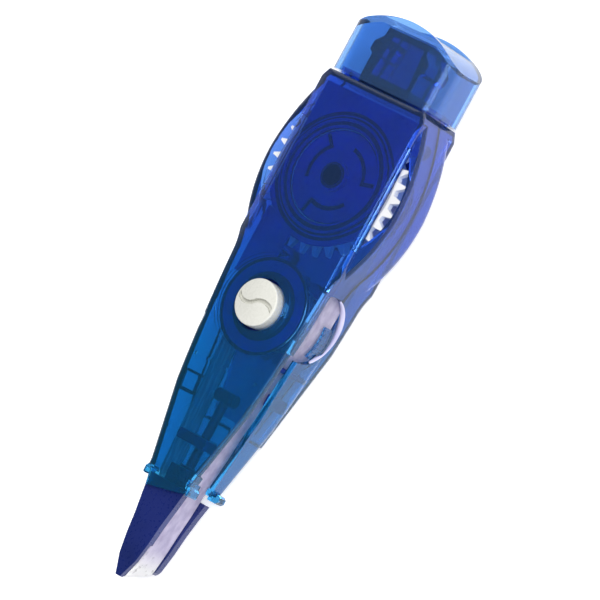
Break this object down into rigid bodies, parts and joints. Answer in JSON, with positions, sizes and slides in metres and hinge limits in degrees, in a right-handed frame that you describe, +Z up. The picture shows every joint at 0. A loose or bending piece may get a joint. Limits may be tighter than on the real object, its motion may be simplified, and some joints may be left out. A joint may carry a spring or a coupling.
{
  "type": "correction tape roller",
  "caption": "Slim see-through pen-style correction tape roller: geared tape reels, round rewind knob, swivelling applicator tip and a cap pushed on its tail.",
  "frame": {"origin": "on the rear panel's plane, below the middle of the whole length and width", "axes": "+X along the pen from the tip to the posted cap, +Z up through the front panel and the knob, tape on the -Y side"},
  "size_m": [0.1202, 0.0344, 0.0161],
  "materials": {
    "clear_blue": "gloss",
    "cap_blue": "gloss",
    "dark_blue": "satin",
    "head_navy": "gloss",
    "white_plastic": "satin",
    "knob_cream": "gloss",
    "tape_white": "matte",
    "film_clear": "gloss"
  },
  "bodies": {
    "casing": {"front_shell": "clear_blue", "rear_shell": "clear_blue", "cartridge_base": "clear_blue", "cartridge_cover": "dark_blue", "supply_spindle": "dark_blue", "takeup_spindle": "dark_blue", "idler_spindle": "clear_blue", "guide_pins": "dark_blue", "pawl_spring": "dark_blue", "head_bearing": "dark_blue", "tape_run": "tape_white", "film_run": "film_clear"},
    "supply_reel": {"supply_gear": "white_plastic", "clutch_hub": "dark_blue", "supply_core": "dark_blue", "supply_tape": "tape_white"},
    "takeup_reel": {"takeup_gear": "dark_blue", "takeup_core": "clear_blue", "film_roll": "film_clear", "rewind_knob": "knob_cream"},
    "idler": {"idler_gear": "dark_blue"},
    "writing_head": {"head": "head_navy", "head_stem": "head_navy", "tape_tip": "tape_white"},
    "cap_body": {"cap": "cap_blue"}
  },
  "joints": [
    {"name": "supply_spin", "type": "hinge", "parent": "casing", "child": "supply_reel", "pos_m": [0.0264, 0, 0.008], "axis": [0, 0, 1], "continuous": true},
    {"name": "takeup_spin", "type": "hinge", "parent": "casing", "child": "takeup_reel", "pos_m": [-0.0018, 0, 0.008], "axis": [0, 0, 1], "continuous": true},
    {"name": "idler_spin", "type": "hinge", "parent": "casing", "child": "idler", "pos_m": [0.00875, 0.00593, 0.008], "axis": [0, 0, 1], "continuous": true},
    {"name": "head_swivel", "type": "hinge", "parent": "casing", "child": "writing_head", "pos_m": [-0.0391, 0, 0.0083], "axis": [1, 0, 0], "range_deg": [-4, 4], "stiffness_Nm_per_rad": 0.02},
    {"name": "cap_pull", "type": "slide", "parent": "casing", "child": "cap_body", "axis": [1, 0, 0], "range_m": [0, 0.03]}
  ],
  "couplings": [
    {"joint": "takeup_spin", "follows": "supply_spin", "ratio": 1.7778},
    {"joint": "idler_spin", "follows": "supply_spin", "ratio": -4}
  ]
}
